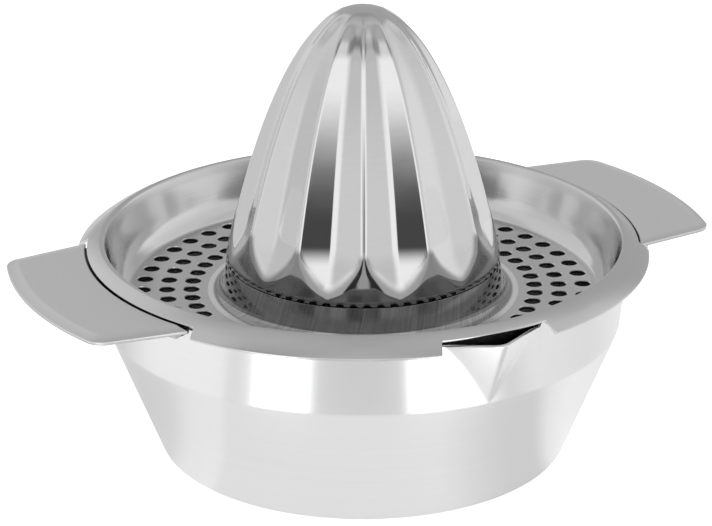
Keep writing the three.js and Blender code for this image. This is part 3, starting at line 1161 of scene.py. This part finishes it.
# layers of the studio from low to high: where each blends in, and its brightness by that angle
studioLayers = (
    ((0, 0), (
        (-180, 0.6), (-160, 0.62), (-150, 1.1), (-107, 0.9), (-90, 0.9), (-75, 1.2), (-60, 1.0),
        (-46, 1.05), (-40, 1.5), (-22, 1.5), (-19, 0.1), (-6, 0.1), (-4, 1.3), (4, 1.3), (6, 0.1),
        (19, 0.1), (22, 1.5), (40, 1.5), (46, 1.05), (60, 1.0), (75, 1.1), (90, 1.2), (127, 1.25),
        (137, 0.62), (180, 0.6),
    )),
    ((0.12, 0.56), (
        (-180, 0.6), (-160, 0.62), (-150, 1.0), (-85, 1.0), (-70, 1.0), (-50, 0.9), (-30, 1.5),
        (30, 1.5), (50, 0.9), (70, 0.95), (127, 1.0), (137, 0.62), (180, 0.6),
    )),
    ((0.6, 0.68), (
        (-180, 0.6), (-160, 0.6), (-150, 0.95), (-100, 0.8), (-74, 0.85), (-50, 0.85), (-28, 1.5),
        (28, 1.5), (50, 0.85), (74, 0.85), (100, 0.85), (120, 0.95), (132, 0.6), (180, 0.6),
    )),
    ((0.71, 0.8), (
        (-180, 0.5), (-140, 0.6), (-112, 0.95), (-84, 0.9), (-68, 0.35), (-40, 0.4), (-18, 1.12),
        (18, 1.12), (36, 0.5), (58, 0.45), (76, 0.95), (114, 1.0), (140, 0.6), (180, 0.5),
    )),
    ((0.85, 0.92), (
        (-180, 0.6), (-110, 0.8), (-60, 0.62), (0, 0.75), (60, 0.62), (110, 0.8), (180, 0.6),
    )),
)
scene = bpy.context.scene
azimuth, elevation = math.radians(studio["cameraAzimuth"]), math.radians(studio["cameraElevation"])


# brightness round the studio, from a ramp over the angle from the camera's side
def zoneRamp(tree, share, zones):
    ramp = tree.nodes.new("ShaderNodeValToRGB")
    tree.links.new(share, ramp.inputs["Fac"])
    stops = ramp.color_ramp.elements
    brightest = max(value for angle, value in zones)
    for angle, value in zones[1:-1]:
        stops.new((angle + 180) / 360)
    for stop, (angle, value) in zip(stops, zones):
        stop.position = (angle + 180) / 360
        grey = value / brightest
        stop.color = (grey, grey, grey, 1)
    return times(tree, ramp.outputs["Color"], brightest)


# how far round from the camera's side a place or direction lies, as a share of the ramp
def turnShare(tree, x, y):
    def mixed(toX, toY):
        return calculate(tree, "ADD", times(tree, x, toX), times(tree, y, toY))

    front = mixed(math.sin(azimuth), -math.cos(azimuth))
    side = mixed(math.cos(azimuth), math.sin(azimuth))
    turn = calculate(tree, "ARCTAN2", side, front)
    return calculate(tree, "MULTIPLY_ADD", turn, 0.5 / math.pi, 0.5)


# what the camera sees directly is one value, and reflections see another
def shownOrReflected(tree, shown, reflected):
    seen = tree.nodes.new("ShaderNodeLightPath").outputs["Is Camera Ray"]
    return mixValues(tree, seen, reflected, shown)


def makeFloor():
    deselectAll()
    bpy.ops.mesh.primitive_plane_add(size=studio["floorSize"], location=(0, 0, 0))
    floorPlane = bpy.context.object
    floorPlane.name = "studioFloor"
    material = bpy.data.materials.new("paleFloor")
    material.use_nodes = True
    tree = material.node_tree
    shader = tree.nodes["Principled BSDF"]
    shader.inputs["Base Color"].default_value = (*studio["floorColour"], 1)
    shader.inputs["Roughness"].default_value = studio["floorRoughness"]

    x, y, z = splitUp(tree, tree.nodes.new("ShaderNodeTexCoord").outputs["Object"])
    far = easeBetween(tree, fromAxis(tree, x, y), *studio["floorSplit"])
    share = turnShare(tree, x, y)
    near, beyond = (zoneRamp(tree, share, zones) for zones in floorZones)
    glow = shownOrReflected(tree, studio["floorGlow"], mixValues(tree, far, near, beyond))
    shader.inputs["Emission Color"].default_value = (1, 1, 1, 1)
    tree.links.new(glow, shader.inputs["Emission Strength"])
    dress(floorPlane, material)


def makeCamera():
    s = studio
    toCamera = Vector((*pointAt(math.cos(elevation), s["cameraAzimuth"] - 90), math.sin(elevation)))
    cameraData = bpy.data.cameras.new("studioCamera")
    camera = bpy.data.objects.new("studioCamera", cameraData)
    scene.collection.objects.link(camera)
    camera.location = Vector((0, 0, s["aimHeight"])) + toCamera * s["cameraDistance"]
    camera.rotation_euler = (-toCamera).to_track_quat("-Z", "Y").to_euler()
    cameraData.sensor_width = s["sensorWidth"]
    cameraData.lens = s["focalPixels"] / s["frameWidth"] * s["sensorWidth"]
    cameraData.shift_x = (s["frameWidth"] / 2 - s["axisPixel"]) / s["frameWidth"]
    cameraData.clip_start, cameraData.clip_end = s["clipping"]
    scene.camera = camera
    scene.view_settings.view_transform = "Standard"
    scene.view_settings.look = "None"


def makeWorld():
    world = bpy.data.worlds.new("studioWorld")
    scene.world = world
    world.use_nodes = True
    tree = world.node_tree
    tree.nodes.clear()
    output = tree.nodes.new("ShaderNodeOutputWorld")
    background = tree.nodes.new("ShaderNodeBackground")
    tree.links.new(background.outputs["Background"], output.inputs["Surface"])
    x, y, height = splitUp(tree, tree.nodes.new("ShaderNodeTexCoord").outputs["Generated"])
    share = turnShare(tree, x, y)
    shade = zoneRamp(tree, share, studioLayers[0][1])
    for (start, end), zones in studioLayers[1:]:
        higher = easeBetween(tree, height, start, end)
        shade = mixValues(tree, higher, shade, zoneRamp(tree, share, zones))
    strength = shownOrReflected(tree, studio["backdrop"], shade)
    tree.links.new(strength, background.inputs["Strength"])


makeFloor()
makeCamera()
makeWorld()
print("studio set")
